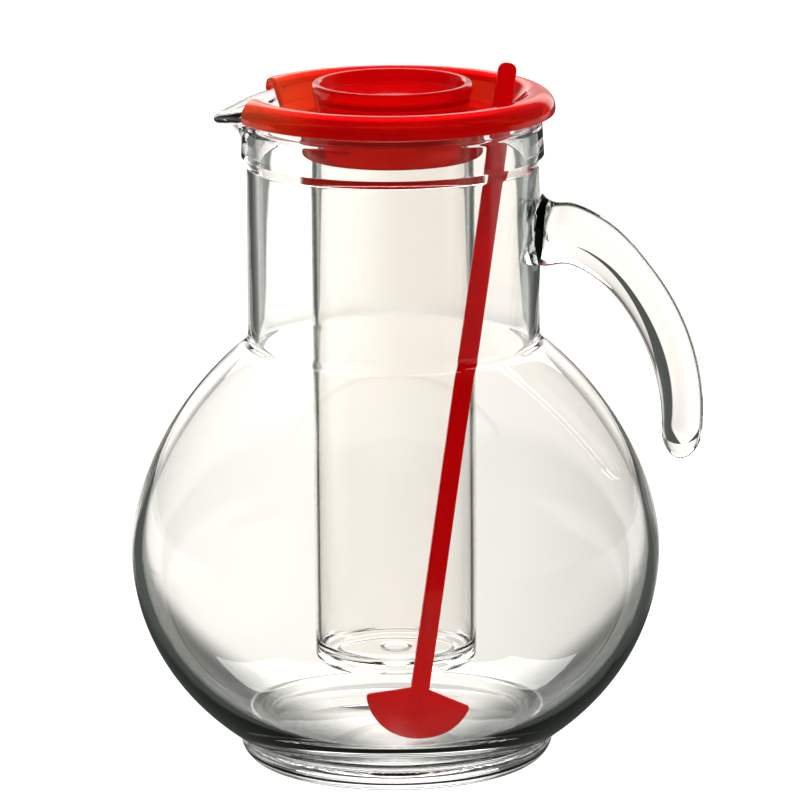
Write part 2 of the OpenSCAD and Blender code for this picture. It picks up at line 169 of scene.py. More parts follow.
def spin(profile, angles):
    # a section of points (r, z) carried round the Z axis; the section may differ from angle to angle
    profile = np.asarray(profile, float)
    if profile.ndim == 2:
        profile = np.broadcast_to(profile, (len(angles),) + profile.shape)
    a = np.asarray(angles)[:, None]
    return np.stack([profile[..., 0] * np.cos(a), profile[..., 0] * np.sin(a), profile[..., 1]], 2)


def spunMesh(name, profile, count=192):
    # a section that starts and ends on the axis, carried all the way round
    points = spin(profile, np.arange(count) * 2 * np.pi / count)
    return meshFrom(name, points, gridFaces(count, points.shape[1], True, False))


def place(piece, body, slot, material, *nodes):
    # the piece gets its material, moves with a body and stands for its solids
    piece.data.materials.clear()
    piece.data.materials.append(material)
    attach(piece, body)
    if nodes:
        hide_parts(*nodes)
    print(piece.name, sum(len(f.vertices) - 2 for f in piece.data.polygons), "triangles")


# the handle comes first, because the glass knows where it is
handle = {
    "bendR": 65.5, "reach": 90.0, "lowZ": 111.0, "rootW": 18.4, "endW": 12.4, "thick": 0.8,
    "endAngle": 11.5, "weldOut": 3.6, "weldShare": 0.075, "tipShare": 0.9,
    "rootDown": 5.4, "rootX": 45.5, "rootSpan": 7.0, "bowUp": 1.1, "bowX": 68.0, "bowSpan": 9.0,
    "rootIn": 0.9, "taper": 0.8, "rings": 140, "sides": 56, "rootDense": 1.8,
    # where its own look is mixed in, in metres
    "ownArc": (0.051, 0.054), "ownX": (0.046, 0.050), "ownZ": (0.098, 0.104), "tipX": (0.0827, 0.0835),
    "weldX": (0.0425, 0.0455), "weldY": (0.008, 0.013), "weldTop": (0.180, 0.186), "weldLow": (0.148, 0.156),
}


# materials
class Wire:
    # a shader socket on which plain arithmetic adds Math nodes
    def __init__(self, tree, socket):
        self.tree, self.socket = tree, socket

    def node(self, kind, settings=None, **inputs):
        return addNode(self.tree, kind, settings, **inputs)

    def maths(self, operation, first, second=None):
        n = self.tree.nodes.new("ShaderNodeMath")
        n.operation = operation
        for spot, value in zip(n.inputs, (first, second)):
            feed(self.tree, spot, value)
        return Wire(self.tree, n.outputs[0])

    def __add__(self, other):
        return self.maths("ADD", self, other)

    __radd__ = __add__

    def __mul__(self, other):
        return self.maths("MULTIPLY", self, other)

    __rmul__ = __mul__

    def __sub__(self, other):
        return self.maths("SUBTRACT", self, other)

    def __rsub__(self, other):
        return self.maths("SUBTRACT", other, self)

    def __pow__(self, other):
        return self.maths("POWER", self, other)

    def most(self, other):
        return self.maths("MAXIMUM", self, other)

    def step(self, low, high):
        # smooth rise from 0 at low to 1 at high
        n = self.node("ShaderNodeMapRange", {"interpolation_type": "SMOOTHSTEP"}, Value=self)
        n["node"].inputs["From Min"].default_value = low
        n["node"].inputs["From Max"].default_value = high
        return n["Result"]


def feed(tree, spot, value):
    # a wire is linked, a colour gets its fourth value, and a number is set on the socket itself
    if value is None:
        return
    if isinstance(value, Wire):
        tree.links.new(value.socket, spot)
    elif isinstance(value, (tuple, list)) and spot.type == "RGBA":
        spot.default_value = tuple(value) + (1,) * (4 - len(value))
    else:
        spot.default_value = value


def addNode(tree, kind, settings=None, **inputs):
    # a node by its type, its settings and the values or wires of its sockets, where _ stands for a space
    n = tree.nodes.new(kind)
    for key, value in (settings or {}).items():
        setattr(n, key, value)
    for key, value in inputs.items():
        feed(tree, n.inputs[key.replace("_", " ")], value)
    out = {o.name: Wire(tree, o) for o in n.outputs if o.enabled}
    out["node"] = n
    return out


def newMaterial(name):
    # an empty node tree with its output
    material = bpy.data.materials.new(name)
    material.use_nodes = True
    tree = material.node_tree
    tree.nodes.clear()
    return material, tree, addNode(tree, "ShaderNodeOutputMaterial")["node"]


glassLook = {
    "tint": (0.985, 0.992, 0.985),
    "ior": 1.5,
    "waveSize": 26,      # waves of the blown wall, per metre
    "waveDepth": 0.00016,
    "hazeRough": 0.012,
    "weldTint": (0.80, 0.92, 0.87),
    "lampTint": (0.96, 0.97, 0.965),   # how much of a lamp's light passes one face
}
# smears on glass: finer than its waves, and seen where their noise is high
smearLook = {"finer": 2.2, "shows": (0.56, 0.86)}


def mixColour(tree, factor, first, second):
    # first times (1 - factor) plus second times factor
    n = addNode(tree, "ShaderNodeMix", {"data_type": "RGBA"}, Factor=factor)["node"]
    feed(tree, n.inputs[6], first)
    feed(tree, n.inputs[7], second)
    return Wire(tree, n.outputs[2])


def mixShader(tree, factor, first, second):
    # the same for two shaders
    n = addNode(tree, "ShaderNodeMixShader", None, Fac=factor)["node"]
    tree.links.new(first.socket, n.inputs[1])
    tree.links.new(second.socket, n.inputs[2])
    return Wire(tree, n.outputs[0])


def noise(tree, where, scale, detail, roughness, twist=0.0):
    # cloudy noise from 0 to 1; the scale is in clouds per metre
    return addNode(tree, "ShaderNodeTexNoise", None, Vector=where, Scale=float(scale), Detail=detail,
                   Roughness=roughness, Distortion=twist)["Fac"]


def letThrough(tree, shader, tint, out):
    # shadow rays pass with a tint, so that lamps light what stands behind or inside the piece
    clear = addNode(tree, "ShaderNodeBsdfTransparent", None, Color=tint)["BSDF"]
    mixed = mixShader(tree, addNode(tree, "ShaderNodeLightPath")["Is Shadow Ray"], shader, clear)
    tree.links.new(mixed.socket, out.inputs["Surface"])


def onHandle(tree, where):
    # two shares from 0 to 1. The first is 1 on the handle: outside the arc's inner side, out from the neck
    # and above the belly, or out past the belly. The second is 1 at the weld.
    h = handle
    xyz = addNode(tree, "ShaderNodeSeparateXYZ", None, Vector=where)
    x, y, z = xyz["X"], xyz["Y"], xyz["Z"]
    fromArc = ((x - (h["reach"] - h["bendR"]) * mm) ** 2 + (z - h["lowZ"] * mm) ** 2) ** 0.5
    past = fromArc.step(*h["ownArc"]) * x.step(*h["ownX"]) * z.step(*h["ownZ"])
    wide = 1 - y.maths("ABSOLUTE", y).step(*h["weldY"])
    tall = z.step(*h["weldLow"]) * (1 - z.step(*h["weldTop"]))
    return past.most(x.step(*h["tipX"])), x.step(*h["weldX"]) * (1 - x.step(*h["ownX"])) * wide * tall


def makeGlass(name, look, handleLook=None):
    # clear glass: slow waves of the wall as bump, faint smears as roughness, and the handle's look mixed in
    material, tree, out = newMaterial(name)
    where = addNode(tree, "ShaderNodeTexCoord")["Object"]
    wave = noise(tree, where, look["waveSize"], 1.5, 0.4)
    haze = noise(tree, where, look["waveSize"] * smearLook["finer"], 4.0, 0.6)
    rough = haze.step(*smearLook["shows"]) * look["hazeRough"]
    bump = addNode(tree, "ShaderNodeBump", None, Strength=1.0, Distance=look["waveDepth"],
                   Height=wave)["Normal"]

    def clear(tint, ior):
        return addNode(tree, "ShaderNodeBsdfPrincipled", None, Base_Color=tint, IOR=ior,
                       Transmission_Weight=1.0, Roughness=rough, Normal=bump)["BSDF"]

    if handleLook:
        share, weld = onHandle(tree, where)
        wall = clear(mixColour(tree, weld, look["tint"], look["weldTint"]), look["ior"])
        shader = mixShader(tree, share, wall, clear(handleLook["tint"], handleLook["ior"]))
    else:
        shader = clear(look["tint"], look["ior"])
    letThrough(tree, shader, look["lampTint"], out)
    return material


redLook = {
    "deep": (0.62, 0.0012, 0.006),
    "bright": (0.80, 0.004, 0.008),
    "through": (0.90, 0.02, 0.010),
    "clearTint": (1.0, 0.80, 0.65),
    "inside": (0.985, 0.35, 0.0),
    "insideDensity": 2400.0,
    "ior": 1.49,
    "rough": 0.03,
    "moreRough": 0.05,      # where the surface is marked
    "cloudRough": 0.02,     # the cloudy part over the clear part
    "cloudShare": 0.45,
    "glowShare": 0.30,
    "lampTint": (0.60, 0.06, 0.02),
    "shine": (1.0, 0.62, 0.42),
    "flowSize": 34, "fineSize": 900, "markSize": 120,   # flow marks, grain and scratches, per metre
    "flowShows": (0.35, 0.7), "markShows": (0.45, 0.8), "fineShare": 0.12, "markDeep": 0.00004,
    "paintedGlowWander": 0.01,     # how far the flow moves the edge of the painted orange glow, in metres
}


def makeRed(name, look):
    # moulded plastic: part clear and red in its depth, part cloudy red that light passes, with flow marks,
    # grain and scratches; with a painted glow colour, the spout's side is painted orange as if lit through
    material, tree, out = newMaterial(name)
    where = addNode(tree, "ShaderNodeTexCoord")["Object"]
    flow = noise(tree, where, look["flowSize"], 3.0, 0.55, 0.7)
    fine = noise(tree, where, look["fineSize"], 2.0, 0.6)
    mark = noise(tree, where, look["markSize"], 5.0, 0.7)
    tint = mixColour(tree, flow.step(*look["flowShows"]), look["deep"], look["bright"])
    # painted light: the base colour turns orange toward the spout's side, standing in for light shining
    # through the plastic there
    if "paintedGlowColour" in look:
        left = 0 - addNode(tree, "ShaderNodeSeparateXYZ", None, Vector=where)["X"]
        share = (left + flow * look["paintedGlowWander"]).step(*look["paintedGlowFrom"]) * look["paintedGlowAmount"]
        tint = mixColour(tree, share, tint, look["paintedGlowColour"])
    bump = addNode(tree, "ShaderNodeBump", None, Strength=0.5, Distance=look["markDeep"],
                   Height=flow + fine * look["fineShare"])["Normal"]
    gloss = mark.step(*look["markShows"]) * look["moreRough"] + look["rough"]
    clear = addNode(tree, "ShaderNodeBsdfPrincipled", None, Base_Color=look["clearTint"], IOR=look["ior"],
                    Transmission_Weight=1.0, Roughness=gloss, Specular_Tint=look["shine"], Normal=bump)
    cloud = addNode(tree, "ShaderNodeBsdfPrincipled", None, Base_Color=tint, IOR=look["ior"],
                    Roughness=gloss + look["cloudRough"], Specular_Tint=look["shine"], Normal=bump)
    glow = addNode(tree, "ShaderNodeBsdfTranslucent", None, Color=look["through"], Normal=bump)
    solid = mixShader(tree, look["glowShare"], cloud["BSDF"], glow["BSDF"])
    letThrough(tree, mixShader(tree, look["cloudShare"], clear["BSDF"], solid), look["lampTint"], out)
    depth = addNode(tree, "ShaderNodeVolumeAbsorption", None, Color=look["inside"],
                    Density=look["insideDensity"])
    tree.links.new(depth["Volume"].socket, out.inputs["Volume"])
    return material


tubeLook = {
    "tint": (0.995, 0.985, 0.97),
    "ior": 1.38,
    "waveSize": 18,
    "waveDepth": 0.00006,
    "hazeRough": 0.03,
    "lampTint": (0.97, 0.965, 0.96),
}

handleLook = {"tint": (1.0, 1.0, 1.0), "ior": 1.30}
jugGlass = makeGlass("jugGlass", glassLook, handleLook)
tubePlastic = makeGlass("tubePlastic", tubeLook)
# the lid's spout side is painted orange, a painted glow of light shining through
lidRed = makeRed("lidRed", dict(redLook, paintedGlowColour=(0.95, 0.20, 0.05), paintedGlowFrom=(0.020, 0.050), paintedGlowAmount=0.8))
stirrerRed = makeRed("stirrerRed", dict(redLook, deep=(0.72, 0.0006, 0.005), bright=(0.88, 0.0012, 0.006),
                                        through=(0.80, 0.001, 0.008), cloudShare=0.88, rough=0.08))
print("materials made")

# jug
jug = {
    "bellyR": 82.6, "bellyZ": 67.5, "shoulderH": 84.7, "heelH": 73.0, "shoulderPower": 1.775,
    "bellyWall": 3.2, "shoulderWall": 2.7, "heelWall": 5.2, "floorZ": 11.6, "floorBlend": 4.5,
    "footR": 49.0, "footRound": 8.2, "footH": 7.0, "restW": 4.5, "punt": 2.0,
    "neckR": 45.4, "neckWall": 3.4, "neckBlend": 1.6, "rimZ": 209.0, "collarOut": 1.0, "collarFlare": 0.6,
    "collarH": 16.5, "collarSlope": 3.1, "collarFoot": 2.2, "collarEdge": 0.7, "beadH": 6.7,
    "creaseDeep": 0.4, "creaseWide": 0.55, "creaseIn": 0.2,  # the line under the bead
    "heelUp": 1.2, "heelIn": 0.55, "heelRound": 0.5,         # the corner between foot and heel
    "restInner": 0.3, "restOuter": 0.6, "restSoft": 1.2,     # where the notches fade out on the ring
    "notches": 60, "notchDeep": 0.45, "notchTurn": -82.4, "notchSpan": 62.0, "notchFade": 3,
    "notchBelow": 1.5, "weldOut": 0.7, "weldZ": 168.0, "weldTall": 12.0, "weldAngle": 13.0,
}
spout = {
    "reach": 9.4, "drop": 6.4, "h": 14.5, "throat": 12.0, "angle": 34.0, "sideAngle": 29.9,
    "fade": 0.45, "soft": 3.0, "wall": 3.0, "rise": 1.7, "spare": 0.4,
}
neckIn = jug["neckR"] - jug["neckWall"]
collarR = jug["neckR"] + jug["collarOut"]
rimHalf = (collarR - neckIn) / 2
rimRoundZ = jug["rimZ"] - rimHalf
beadZ = jug["rimZ"] - jug["beadH"]
collarZ = jug["rimZ"] - jug["collarH"]
spoutFoot = jug["rimZ"] - spout["h"] - spout["spare"]
restOut = jug["footR"] - jug["footRound"]
restIn = restOut - jug["restW"]
gap = 3.0                           # the longest straight step along a section
lipOutSteps, lipInSteps = 42, 38    # points of the lip outside and inside


def shoulderLine(r, h, neck, top, count):
    # r times (1 - (height / h) ** power) ** (1 / power), held to the neck's radius with a soft corner
    p = jug["shoulderPower"]
    end = math.asin((top / h) ** (p / 2))
    t = np.linspace(0, end, count)
    x, z = r * np.cos(t) ** (2 / p), jug["bellyZ"] + h * np.sin(t) ** (2 / p)
    return np.stack([softMax(x, neck, jug["neckBlend"]), z], 1)


def shoulderTop(r, h, neck):
    # height over the belly where the shoulder has the neck's radius, and three blends more for its corner
    p = jug["shoulderPower"]
    return h * (1 - (neck / r) ** p) ** (1 / p) + 3 * jug["neckBlend"]


def collarAt(z):
    # radius of the collar at a height: straight over the bead, and wider toward its foot
    return collarR + jug["collarFlare"] * np.maximum(0, (beadZ - z) / (beadZ - collarZ))


def outerLine():
    # outside of the jug from the middle of its underside up to the foot of the spout: a cosine dome, the
    # flat ring, the foot's arc, the heel's ellipse, the shoulder's curve, the neck and the collar
    j = jug
    dome = np.linspace(0, 1, 12)
    ring = np.linspace(restIn, restOut, 13)[1:-1]
    under = np.concatenate([np.stack([restIn * dome, j["punt"] * (1 + np.cos(np.pi * dome)) / 2], 1),
                            np.stack([ring, 0 * ring], 1)])
    footEnd = math.degrees(math.asin((j["footH"] - j["footRound"]) / j["footRound"]))
    foot = arcLine(restOut, j["footRound"], j["footRound"], -90, footEnd, 20)
    start = math.asin((j["bellyZ"] - j["footH"] - j["heelUp"]) / j["heelH"])
    t = np.linspace(start, 0, 40)[:-1]
    heel = np.stack([j["bellyR"] * np.cos(t), j["bellyZ"] - j["heelH"] * np.sin(t)], 1)
    corner = (heel[0][0] - j["heelIn"], j["footH"] + j["heelIn"])
    crease = roundCorners([foot[-1], corner, heel[0]], [0, j["heelRound"], 0], 4)[1:-1]
    top = shoulderTop(j["bellyR"], j["shoulderH"], j["neckR"])
    shoulder = shoulderLine(j["bellyR"], j["shoulderH"], j["neckR"], top, 52)
    neck = roundCorners([shoulder[-1], (j["neckR"], collarZ - j["collarSlope"]), (collarAt(collarZ), collarZ),
                         (collarAt(spoutFoot), spoutFoot)], [0, j["collarFoot"], j["collarEdge"], 0], 7)[1:]
    neck = densify(np.concatenate([shoulder[-1:], neck]), gap)[1:]
    return np.concatenate([under, foot, crease, heel, shoulder, neck])


def floorAt(r):
    # height of the jug's floor at a distance from the axis: the higher of the inner ellipse and a flat floor
    j = jug
    share = math.sqrt(1 - (r / (j["bellyR"] - j["bellyWall"])) ** 2)
    return softMax(j["bellyZ"] - (j["heelH"] - j["heelWall"]) * share, j["floorZ"], j["floorBlend"])


def innerLine():
    # inside of the jug from the foot of the spout down to the middle of the floor
    j = jug
    r, up, down = j["bellyR"] - j["bellyWall"], j["shoulderH"] - j["shoulderWall"], j["heelH"] - j["heelWall"]
    shoulder = shoulderLine(r, up, neckIn, shoulderTop(r, up, neckIn), 48)[::-1]
    neck = densify(np.array([(neckIn, spoutFoot - 1), shoulder[0]]), gap)[:-1]
    t = np.linspace(0, np.pi / 2, 50)[1:]
    heel = np.stack([r * np.cos(t), softMax(j["bellyZ"] - down * np.sin(t), j["floorZ"], j["floorBlend"])], 1)
    return np.concatenate([neck, shoulder, heel])


def softAngle(a):
    # the angle with its corner at zero rounded off
    return math.sqrt(a * a + spout["soft"] ** 2) - spout["soft"]


def flareLine(start, end):
    # a quarter of an ellipse that leaves its start upright and lies outward at its end
    t = np.linspace(0, np.pi / 2, 40)
    r = start[0] + (end[0] - start[0]) * (1 - np.cos(t))
    return np.stack([r, start[1] + (end[1] - start[1]) * np.sin(t)], 1)


def lipLine(angle):
    # section of rim and spout at an angle from the spout's axis: up the outside, over the lip, down the
    # inside; in plan the tip's side is a straight line, which fades into the collar
    s = spout
    end = softAngle(s["angle"])
    a = min(softAngle(angle), end)
    left = 1 - a / end
    fadeFrom = end * s["fade"]
    tipR = (collarR + s["reach"]) * math.cos(math.radians(s["sideAngle"]))
    side = tipR / math.cos(math.radians(a - s["sideAngle"]))
    fade = 1 if a < fadeFrom else (1 + math.cos(math.pi * (a - fadeFrom) / (end - fadeFrom))) / 2
    lip = rimHalf + (s["wall"] / 2 - rimHalf) * left
    r = collarR + (side - collarR) * fade - lip
    z = rimRoundZ + (jug["rimZ"] - s["drop"] - rimRoundZ) * left ** s["rise"]
    outZ = jug["rimZ"] - jug["beadH"] - (s["h"] - jug["beadH"]) * left
    inZ = rimRoundZ - s["throat"] * left
    out = np.concatenate([[(collarAt(spoutFoot), spoutFoot)], flareLine((collarAt(outZ), outZ), (r, z - lip)),
                          arcLine(r, z, lip, -80, 0, 12)])
    out[:, 0] = np.maximum(out[:, 0], collarAt(out[:, 1]))
    out = resample(np.concatenate([out, arcLine(r, z, lip, 4, 90, 16)]), lipOutSteps)
    crease = jug["creaseDeep"] * (1 - left) ** 2 * np.exp(-((out[:, 1] - beadZ) / jug["creaseWide"]) ** 2)
    out[:, 0] -= crease * (out[:, 0] > collarR - jug["creaseIn"])
    inside = np.concatenate([flareLine((neckIn, inZ), (r, z + lip))[::-1], [(neckIn, spoutFoot - 1)]])
    return np.concatenate([out[1:], resample(inside, lipInSteps)[1:-1]])


def jugMesh():
    # the section is carried round the axis, changes at the spout, and swells where the handle is welded on;
    # its steps are finest at the spout, fine in front where the notches are, and coarser behind
    degrees = np.sort(np.r_[np.arange(144, 216, 1.0), np.arange(216, 342, 1.5),
                            np.arange(342, 504, 2.25) % 360])
    outer, inner = outerLine(), innerLine()
    lips = np.array([lipLine(min(abs(d - 180), spout["angle"] + 1)) for d in degrees])
    n = len(degrees)
    whole = np.concatenate([np.broadcast_to(outer, (n,) + outer.shape), lips,
                            np.broadcast_to(inner, (n,) + inner.shape)], 1)
    r, z = whole[..., 0], whole[..., 1]
    turn = (degrees[:, None] + 180) % 360 - 180
    j, outside = jug, np.arange(whole.shape[1])[None, :] < len(outer) + lipOutSteps // 4
    weld = j["weldOut"] * np.exp(-(turn / j["weldAngle"]) ** 2 - ((z - j["weldZ"]) / j["weldTall"]) ** 2)
    whole[..., 0] += np.where(outside, weld, 0)
    ring = smoothStep((r - restIn - j["restInner"]) / j["restSoft"]) \
        * smoothStep((restOut + j["restOuter"] - r) / j["restSoft"])
    wave = (0.5 - 0.5 * np.cos(np.radians(degrees[:, None] * j["notches"]))) ** 2
    front = smoothStep((1 - np.abs(turn - j["notchTurn"]) / j["notchSpan"]) * j["notchFade"])
    whole[..., 1] += np.where(z < j["notchBelow"], j["notchDeep"] * ring * wave * front, 0)
    return meshFrom("jugGlass", spin(whole, np.radians(degrees)), gridFaces(n, whole.shape[1], True, False))


def handleMesh():
    # an egg-shaped ring carried along an arc: wide at the weld, slimmer to the round free end
    h = handle
    centre = h["reach"] - h["bendR"]
    root = math.acos((neckIn + h["rootIn"] - centre) / h["bendR"])
    s = 1 - (1 - np.linspace(0, 1, h["rings"])[:, None]) ** h["rootDense"]
    half = (h["rootW"] + (h["endW"] - h["rootW"]) * s ** h["taper"]) / 2
    half = half + h["weldOut"] * np.clip(1 - s / h["weldShare"], 0, 1) ** 2
    half = half * np.sqrt(np.clip(1 - (np.clip(s - h["tipShare"], 0, 1) / (1 - h["tipShare"])) ** 2, 0, 1))
    a = root - (root + math.radians(h["endAngle"])) * s
    t = np.linspace(0, 2 * np.pi, h["sides"], endpoint=False)[None, :]
    out = h["bendR"] + half * np.cos(t)
    points = np.stack([centre + out * np.cos(a), -half * h["thick"] * np.sin(t),
                       h["lowZ"] + out * np.sin(a)], 2)
    # the root bends down to the neck, and the arc stands a little higher past it
    x = points[..., 0]
    points[..., 2] += h["bowUp"] * np.exp(-((x - h["bowX"]) / h["bowSpan"]) ** 2) \
        - h["rootDown"] * np.exp(-((x - h["rootX"]) / h["rootSpan"]) ** 2)
    faces = gridFaces(h["rings"], h["sides"], False, True).tolist() + [list(range(h["sides"]))]
    return meshFrom("handle", points, faces)


jugPiece = combine(addObject("jugGlass", jugMesh()), addObject("handlePart", handleMesh()), "UNION", 55)
place(jugPiece, "jug", "jug_glass", jugGlass, "jug_body", "jug_handle")

# lid
lid = {
    "r": 50.5, "roll": 5.5, "rollDown": 2.2, "skirtH": 0.8, "wall": 1.6, "dishDown": 4.4, "dishR": 37.7,
    "holeR": 22.3, "cutStart": 36.0, "socketR": 28.3, "socketInR": 25.6, "socketH": 11.0,
    "slotW": 6.3, "slotT": 3.6, "slotReach": 40.0, "slotOver": 2.0, "slotRound": 0.8, "slotEdge": 0.3,
    "dishRound": 1.5, "dishEdge": 0.48, "arcStart": 118.0, "arcSteps": 44, "steps": 300,
    "socketRounds": (0, 0.4, 0.4, 0.3, 0.5, 0.6, 0.9, 0),
    # the sides of the pouring cut, in degrees and in degrees per millimetre
    "cutSide": 17.5, "cutWiden": 1.05, "cutLow": 0.55, "cutLowR": 46.0, "cutLowUp": 1.0,
}
dishZ = jug["rimZ"] - lid["dishDown"]
underZ = dishZ - lid["wall"]
socketZ = underZ - lid["socketH"]


def cutHalfAngle(r, z):
    # half angle of the pouring cut: square across behind, then straight sides that widen to the outside
    flat = np.degrees(np.arccos(np.clip(lid["cutStart"] / np.maximum(r, lid["cutStart"]), -1, 1)))
    side = lid["cutSide"] + (r - lid["dishR"]) * lid["cutWiden"]
    below = np.maximum(0, jug["rimZ"] - lid["rollDown"] + lid["cutLowUp"] - z) * lid["cutLow"]
    return np.where(r <= lid["cutStart"], 0, np.minimum(flat, side)) + below * (r > lid["cutLowR"])


def lidLine():
    # middle line of the lid's wall: from the cut's start along the dish, up and over the rim to the skirt,
    # closely stepped at its start, where the cut's square corner is
    half = lid["wall"] / 2
    rollR, rollZ = lid["r"] - lid["roll"], jug["rimZ"] - lid["rollDown"]
    end = -math.degrees(math.asin(lid["skirtH"] / lid["roll"]))
    arc = arcLine(rollR, rollZ, lid["roll"] - half, lid["arcStart"], end, lid["arcSteps"])
    middle = dishZ - half
    line = roundCorners([(lid["cutStart"], middle), (lid["dishR"] + lid["dishEdge"], middle), tuple(arc[0])],
                        [0, lid["dishRound"], 0], 8)[:-1]
    ahead = lid["cutStart"] + np.array([0, 0.02, 0.08, 0.2, 0.4, 0.7, 1.0])
    line = np.concatenate([np.stack([ahead, np.full(len(ahead), middle)], 1), densify(line[1:], 0.7)])
    line = line[np.r_[True, np.linalg.norm(np.diff(line, axis=0), axis=1) > 1e-3]]
    return np.concatenate([line, densify(np.array([line[-1], arc[0]]), 0.8)[1:-1], arc])


def lidMesh():
    # the wall stands half its thickness on both sides of the middle line, with a half circle at the skirt
    # and along the cut, and is carried round the axis from one side of the cut to the other
    half = lid["wall"] / 2
    line = lidLine()
    d = np.gradient(line, axis=0)
    d /= np.linalg.norm(d, axis=1)[:, None]
    normal = np.stack([-d[:, 1], d[:, 0]], 1)
    if normal[0, 1] < 0:
        normal = -normal
    # round skirt edge: the wall closes on a half circle past the end of the line
    t = np.radians(np.linspace(0, 90, 7))[1:]
    line = np.concatenate([line, line[-1] + d[-1] * half * np.sin(t)[:, None]])
    normal = np.concatenate([normal, np.repeat(normal[-1:], len(t), 0)])
    thick = np.concatenate([np.full(len(line) - len(t), half), half * np.cos(t)])
    n = lid["steps"]
    share = np.linspace(0, 1, n + 1)
    cut = np.radians(cutHalfAngle(line[:, 0], line[:, 1]))
    # the bull nose adds half a wall beyond the edge of the grid, so the grid stops short of the cut
    edge = np.where(cut > 0, cut + thick / line[:, 0], 0)
    angle = np.pi + edge[:, None] + (2 * np.pi - 2 * edge[:, None]) * share[None, :]
    rows = []
    for side in (1, -1):
        p = line + normal * (thick * side)[:, None]
        rows.append(np.stack([p[:, :1] * np.cos(angle), p[:, :1] * np.sin(angle),
                              np.broadcast_to(p[:, 1:], angle.shape)], 2))
    top, bottom = rows
    nose = []
    for column, sign in ((0, -1), (n, 1)):
        a = angle[:, column]
        radial = np.stack([np.cos(a), np.sin(a), 0 * a], 1)
        up = np.array([0, 0, 1.0])
        nrm = normal[:, :1] * radial + normal[:, 1:] * up
        mid = (top[:, column] + bottom[:, column]) / 2
        tangent = np.gradient(mid, axis=0)
        tangent[0] = np.array([0, -sign * 1.0, 0])
        outward = np.cross(tangent, nrm)
        outward /= np.linalg.norm(outward, axis=1)[:, None] + 1e-12
        way = np.stack([-np.sin(a), np.cos(a), 0 * a], 1) * sign
        flip = np.sign((outward * way).sum(1))
        flip[0] = 1 if outward[0][0] < 0 else -1
        flip[flip == 0] = 1
        outward *= flip[:, None]
        outward[0] = (-1, 0, 0)
        bend = np.radians(np.linspace(90, -90, 9))[None, 1:-1, None]
        swing = np.sin(bend) * nrm[:, None] + np.cos(bend) * outward[:, None]
        nose.append(mid[:, None] + thick[:, None, None] * swing)
    # each point of the middle line gives one closed ring: over the top, round the nose, back below, and
    # round the other nose
    ring = np.concatenate([top, nose[1], bottom[:, ::-1], nose[0][:, ::-1]], 1)
    outerPoints, outerFaces = ring.reshape(-1, 3), gridFaces(ring.shape[0], ring.shape[1], False, True)
    # inner part: full rings from the cut's start over the top to the hole, down, and out along the socket
    section = [(lid["cutStart"], dishZ), (lid["holeR"], dishZ), (lid["holeR"], underZ),
               (lid["socketInR"], underZ), (lid["socketInR"], socketZ), (lid["socketR"], socketZ),
               (lid["socketR"], underZ), (lid["cutStart"], underZ)]
    section = densify(roundCorners(section, lid["socketRounds"], 4), lid["wall"])
    inner = spin(section, np.pi + 2 * np.pi * share[:-1])
    innerFaces = gridFaces(n, len(section), True, False) + len(outerPoints)
    points = np.concatenate([outerPoints, inner.reshape(-1, 3)])
    return meshFrom("lidShell", points, outerFaces.tolist() + innerFaces.tolist())


lidPiece = addObject("lidShell", lidMesh())

# stirrer
stirrer = {
    "barW": 5.7, "barT": 3.0, "barEdge": 0.55, "ribUp": 4.0, "footRound": 1.0, "topRound": 2.4, "up": 12.6,
    "paddleW": 33.6, "paddleH": 16.8, "paddleT": 1.8, "paddleEdge": 0.5,
    "endH": 13.0, "endFlat": 0.35, "endRound": 2.2, "discEnd": 8.0,
    "slotR": 34.2, "slotAngle": 6.0, "x": 9.6, "y": -36.0, "turn": 14.0, "lift": 0.6,
}


def stirrerFrame():
    # the piece's own directions: width across, thickness through, length along the lean
    s = stirrer
    foot = np.array([s["x"], s["y"], floorAt(math.hypot(s["x"], s["y"]) + s["paddleT"]) + s["lift"]])
    a = math.radians(s["slotAngle"])
    slot = np.array([s["slotR"] * math.cos(a), -s["slotR"] * math.sin(a), dishZ])
    lean = unit(slot - foot)
    t = math.radians(s["turn"])
    across = np.array([math.cos(t), math.sin(t), 0])
    across = unit(across - lean * (across @ lean))
    through = np.cross(lean, across)
    length = (jug["rimZ"] + s["up"] - foot[2]) / lean[2]
    return foot, across, through, lean, length


def slabMesh(name, outline, thickness, edge, steps=5):
    # a flat outline with round edges: the outline shrinks along a quarter circle as it nears each face
    outline = np.asarray(outline, float)
    e = np.roll(outline, -1, 0) - np.roll(outline, 1, 0)
    inward = np.stack([-e[:, 1], e[:, 0]], 1) / np.linalg.norm(e, axis=1)[:, None]
    area = np.sum(outline[:, 0] * np.roll(outline[:, 1], -1) - np.roll(outline[:, 0], -1) * outline[:, 1]) / 2
    inward = inward if area > 0 else -inward
    t = np.radians(np.linspace(0, 90, steps + 1))
    half = list(zip(edge * (1 - np.cos(t)), thickness / 2 - edge + edge * np.sin(t)))
    rings = [(shrink, -depth) for shrink, depth in half[::-1]] + half
    foot, across, through, lean, length = stirrerFrame()
    flat = np.array([np.c_[outline + inward * shrink, np.full(len(outline), depth)]
                     for shrink, depth in rings])
    points = foot + flat[..., :1] * across + flat[..., 1:2] * lean - flat[..., 2:] * through
    n = len(outline)
    faces = gridFaces(len(rings), n, False, True).tolist()
    faces += [list(range(n)), list(range((len(rings) - 1) * n, len(rings) * n))]
    return meshFrom(name, points, faces, 50)


def barOutline(width, low, high, topRound):
    # a straight strip with round corners
    w, r = width / 2, stirrer["footRound"]
    return roundCorners([(-w, low), (w, low), (w, high), (-w, high)], [r, r, topRound, topRound], 8, True)


